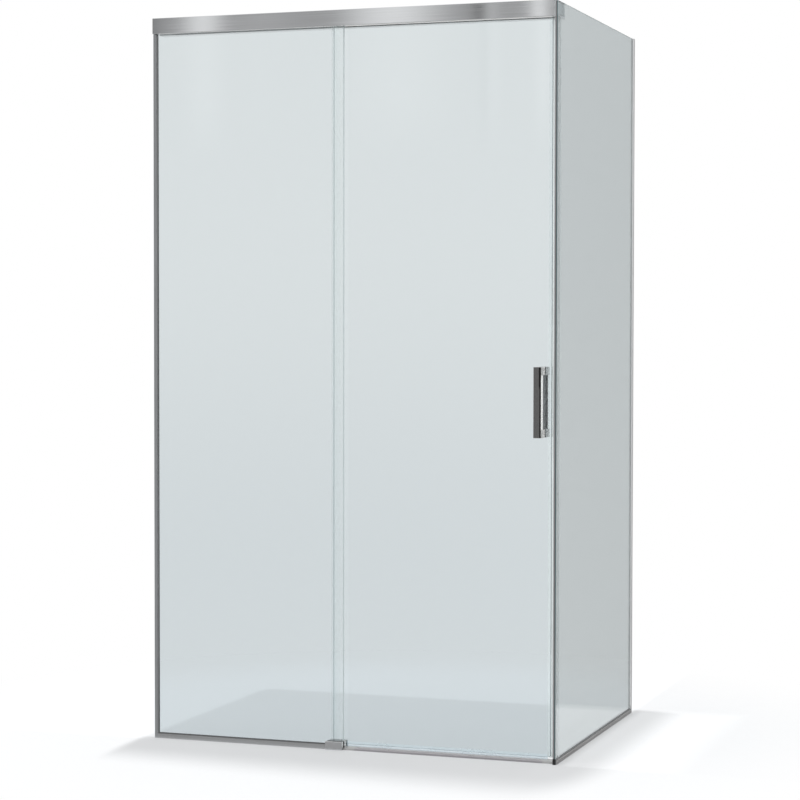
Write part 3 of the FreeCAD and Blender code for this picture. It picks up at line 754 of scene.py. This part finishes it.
# a pale floor, soft lamps, and plain cards that only reflections see
studio = {
    "floorSize": 30.0,
    "worldLight": 0.70,
    "floorColour": (0.415, 0.42, 0.43, 1),
    "floorRoughness": 0.6,
    "bounceFloor": grey(0.8),  # the floor that bounced light meets
    "glowColour": (0.985, 0.993, 1, 1),
    "floorGlow": 0.58,
    "whiteFrom": (0.85, 1.5),  # further out the floor turns as white as the background
    # a painted shadow: the floor is a little greyer near the footprint; the glow's share inside, in
    # front, on the right
    "paintedShadowShades": (0.776, 0.501, 0.54),
    "rightFrom": (0.50, 0.62),
    "patchFade": (0.45, 1.55),  # in units of the reaches below
    "frontReach": (0.23, 0.33),  # at the left and the right end of the front
    "leftReach": 0.035,
    "rightReach": 0.12,
    "backReach": 0.05,
    "border": 0.012,
}


def seenRays(tree):
    path = tree.nodes.new("ShaderNodeLightPath").outputs
    return larger(tree, path["Is Camera Ray"], path["Is Transmission Ray"], path["Is Glossy Ray"])


def makeWorld():
    world = bpy.data.worlds.new("studioWorld")
    bpy.context.scene.world = world
    world.use_nodes = True
    tree = world.node_tree
    background = tree.nodes["Background"]
    background.inputs["Color"].default_value = (1, 1, 1, 1)
    tree.links.new(ranged(tree, seenRays(tree), 0.0, 1.0, studio["worldLight"], 1.0),
                   background.inputs["Strength"])


def stageMesh(name, corners, faces):
    mesh = bpy.data.meshes.new(name)
    mesh.from_pydata(corners, [], faces)
    item = bpy.data.objects.new(name, mesh)
    bpy.context.scene.collection.objects.link(item)
    return item


def glowWithPaintedShadow(tree, where):
    # the floor's glow, with a painted shadow near the footprint: how far a place lies outside the
    # footprint, in units of each side's reach
    look = studio
    place = parted(tree, where["Object"])
    across, along = place["X"], place["Y"]
    front = ranged(tree, across, cadLow.x, cadHigh.x, *look["frontReach"])
    reach = put(tree, "ShaderNodeCombineXYZ", {"X": look["leftReach"], "Y": front, "Z": 1.0}).outputs[0]
    past = vectorCalc(tree, "SUBTRACT", where["Object"], (cadHigh.x, cadHigh.y, 0))
    past = vectorCalc(tree, "DIVIDE", past, (look["rightReach"], look["backReach"], 1))
    before = vectorCalc(tree, "SUBTRACT", (cadLow.x, cadLow.y, 0), where["Object"])
    before = vectorCalc(tree, "DIVIDE", before, reach)
    outside = vectorCalc(tree, "MAXIMUM", vectorCalc(tree, "MAXIMUM", past, before), (0, 0, 0))
    distance = vectorCalc(tree, "LENGTH", outside)
    # the darker painted shadow begins under the bottom profiles, in front and on the right
    inside, ahead, beside = look["paintedShadowShades"]
    border = look["border"]
    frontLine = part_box("threshold_profile")[0].y
    out = larger(tree, ranged(tree, along, frontLine, frontLine + border, 1.0, 0.0),
                 ranged(tree, across, cadHigh.x - border, cadHigh.x))
    near = ranged(tree, out, 0.0, 1.0, inside, ranged(tree, across, *look["rightFrom"], ahead, beside))
    share = ranged(tree, distance, *look["patchFade"], near, 1.0, "SMOOTHSTEP")
    return calc(tree, "MULTIPLY", share, look["floorGlow"])


def makeFloor():
    look = studio
    half = look["floorSize"] / 2
    corners = [(-half, -half, 0), (half, -half, 0), (half, half, 0), (-half, half, 0)]
    floor = stageMesh("floor", corners, [(0, 1, 2, 3)])
    material, tree, shader, where = newMaterial("paleFloor", Roughness=look["floorRoughness"],
                                                Base_Color=look["floorColour"])
    glow = put(tree, "ShaderNodeEmission", {"Color": look["glowColour"],
                                            "Strength": glowWithPaintedShadow(tree, where)})
    shaded = put(tree, "ShaderNodeAddShader", {0: shader.outputs[0], 1: glow.outputs[0]}).outputs[0]
    distance = vectorCalc(tree, "LENGTH", where["Object"])
    far = ranged(tree, distance, *look["whiteFrom"], style="SMOOTHSTEP")
    white = put(tree, "ShaderNodeEmission", {"Strength": 1.0}).outputs[0]
    plain = put(tree, "ShaderNodeBsdfDiffuse", {"Color": look["bounceFloor"]}).outputs[0]
    final = mixedShader(tree, seenRays(tree), plain, mixedShader(tree, far, shaded, white))
    tree.links.new(final, tree.nodes["Material Output"].inputs["Surface"])
    floor.data.materials.append(material)


cardFoot = 0.5 * mm  # how far the cards' lower parts lie above the floor
cardGap = 2 * mm  # between the enclosure and the cards
frontCard = {
    "place": -3.6, "left": -6.0, "right": 3.4, "top": 4.6, "level": 0.47, "edge": 1.2,
    "stripsFrom": (1.8, 2.15),
    # centre along x, half width, brightness: strip lights and flags for the header's face
    "strips": [(-2.282, 0.300, 0.0), (-1.856, 0.142, 1.06), (-1.580, 0.200, 0.53),
               (-1.085, 0.193, 0.60), (-0.989, 0.320, 1.01), (-0.611, 0.050, 0.0),
               (-0.573, 0.050, 0.76), (-0.366, 0.057, 1.24)],
}
rearCard = {
    "place": 2.4, "right": 5.2, "top": 4.4, "level": 0.34, "edge": 1.2,
    # beside the side pane, past its profile, the floor card's front part is as pale as the floor
    "paleFrom": (0.014, 0.028), "paleTo": (0.25, 0.35), "paleDepth": (0.42, 0.52),
}


def glowing(item, name):
    # a material of light alone: gives its tree and the socket for its strength
    material = bpy.data.materials.new(name)
    material.use_nodes = True
    tree = material.node_tree
    tree.nodes.remove(tree.nodes["Principled BSDF"])
    light = tree.nodes.new("ShaderNodeEmission")
    tree.links.new(light.outputs[0], tree.nodes["Material Output"].inputs["Surface"])
    item.data.materials.append(material)
    return tree, light.inputs["Strength"]


def cardObject(name, look, left, start):
    # an upright card with a floor card in front of it, seen only in reflections
    right, y, top, foot = look["right"], look["place"], look["top"], cardFoot
    corners = [(left, y, foot), (right, y, foot), (right, y, top), (left, y, top), (left, start, foot),
               (right, start, foot)]
    card = stageMesh(name, corners, [(0, 1, 2, 3), (0, 1, 5, 4)])
    card.visible_camera = card.visible_diffuse = card.visible_shadow = False
    card.visible_transmission = card.visible_volume_scatter = False
    tree, strength = glowing(card, name + "Light")
    return tree, parted(tree, tree.nodes.new("ShaderNodeTexCoord").outputs["Object"]), strength


def softEdges(tree, parts, look, left, level):
    # the card grows as bright as the room behind it towards its top and sides, the left one if given
    edge, right, top = look["edge"], look["right"], look["top"]
    around = larger(tree, ranged(tree, parts["X"], right - edge, right, style="SMOOTHSTEP"),
                    ranged(tree, parts["Z"], top - edge, top, style="SMOOTHSTEP"))
    if left is not None:
        beside = ranged(tree, parts["X"], left, left + edge, 1.0, 0.0, "SMOOTHSTEP")
        around = larger(tree, around, beside)
    return ranged(tree, around, 0.0, 1.0, level, 1.0)


def makeFrontCard():
    look = frontCard
    tree, parts, strength = cardObject("frontCard", look, look["left"], cadLow.y - cardGap)
    level = look["level"]
    for centre, half, bright in look["strips"]:
        away = calc(tree, "ABSOLUTE", calc(tree, "SUBTRACT", parts["X"], centre))
        mask = ranged(tree, away, 0.0, half, 1.0, 0.0, "SMOOTHSTEP")
        level = ranged(tree, mask, 0.0, 1.0, level, bright)
    high = ranged(tree, parts["Z"], *look["stripsFrom"], style="SMOOTHSTEP")
    level = ranged(tree, high, 0.0, 1.0, look["level"], level)
    tree.links.new(softEdges(tree, parts, look, look["left"], level), strength)


def makeRearCard():
    look = rearCard
    tree, parts, strength = cardObject("rearCard", look, cadHigh.x + cardGap, cadLow.y)
    past = calc(tree, "SUBTRACT", parts["X"], cadHigh.x)
    dim = larger(tree, ranged(tree, past, *look["paleFrom"], 1.0, 0.0),
                 ranged(tree, past, *look["paleTo"]), ranged(tree, parts["Y"], *look["paleDepth"]))
    level = ranged(tree, dim, 0.0, 1.0, 1.0, look["level"])
    tree.links.new(softEdges(tree, parts, look, None, level), strength)


# a small light at the back right, which only the inner pull's side shows, through the panes
pullLight = {"left": 0.84, "right": 1.24, "place": 1.4, "low": 0.62, "high": 1.16, "strength": 1.45,
             "depths": (3.2, 3.8)}


def makePullLight():
    look = pullLight
    left, right, y, low, high = [look[key] for key in ("left", "right", "place", "low", "high")]
    corners = [(left, y, low), (right, y, low), (right, y, high), (left, y, high)]
    card = stageMesh("pullLight", corners, [(0, 1, 2, 3)])
    card.visible_camera = card.visible_diffuse = card.visible_glossy = card.visible_shadow = False
    tree, strength = glowing(card, "pullLight")
    # through one pane it shows the plain background, and only deeper paths see it lit
    depth = tree.nodes.new("ShaderNodeLightPath").outputs["Transmission Depth"]
    tree.links.new(ranged(tree, depth, *look["depths"], 1.0, look["strength"]), strength)


lamps = {
    "keyLamp": {"place": (-2.2, -2.6, 4.2), "aim": (0, 0, 0.8), "size": 2.6, "power": 60},
    "fillLamp": {"place": (3.4, -1.2, 3.2), "aim": (0.2, 0, 0.9), "size": 2.2, "power": 28},
    "backLamp": {"place": (-1.0, 3.4, 3.6), "aim": (0, 0.1, 0.9), "size": 2.6, "power": 30},
}


def makeLamps():
    for name, lamp in lamps.items():
        data = bpy.data.lights.new(name, "AREA")
        data.shape = "SQUARE"
        data.size = lamp["size"]
        data.energy = lamp["power"]
        item = bpy.data.objects.new(name, data)
        item.location = lamp["place"]
        direction = Vector(lamp["aim"]) - Vector(lamp["place"])
        item.rotation_euler = direction.to_track_quat("-Z", "Y").to_euler()
        item.visible_camera = item.visible_transmission = item.visible_glossy = False
        bpy.context.scene.collection.objects.link(item)


cameraView = {"place": (2.1233, -6.1127, 1.1523), "turn": 19.168, "tilt": -1.891, "roll": 0.075,
              "focal": 2254.6, "frame": 800, "sensor": 36.0}  # focal length and frame in pixels


def makeCamera():
    look = cameraView
    data = bpy.data.cameras.new("camera")
    data.sensor_width = look["sensor"]
    data.lens = look["focal"] / look["frame"] * look["sensor"]
    item = bpy.data.objects.new("camera", data)
    item.location = look["place"]
    aim = Euler((math.radians(90 + look["tilt"]), 0, math.radians(look["turn"]))).to_matrix()
    item.rotation_euler = (aim @ Matrix.Rotation(math.radians(look["roll"]), 3, "Z")).to_euler()
    bpy.context.scene.collection.objects.link(item)
    bpy.context.scene.camera = item


makeWorld()
makeFloor()
makeFrontCard()
makeRearCard()
makePullLight()
makeLamps()
makeCamera()
bpy.context.scene.view_settings.view_transform = "Standard"
rayBounces = 24  # a ray through both seals and a pane crosses many faces
bpy.context.scene.cycles.max_bounces = rayBounces
bpy.context.scene.cycles.transmission_bounces = rayBounces
print("studio ready")
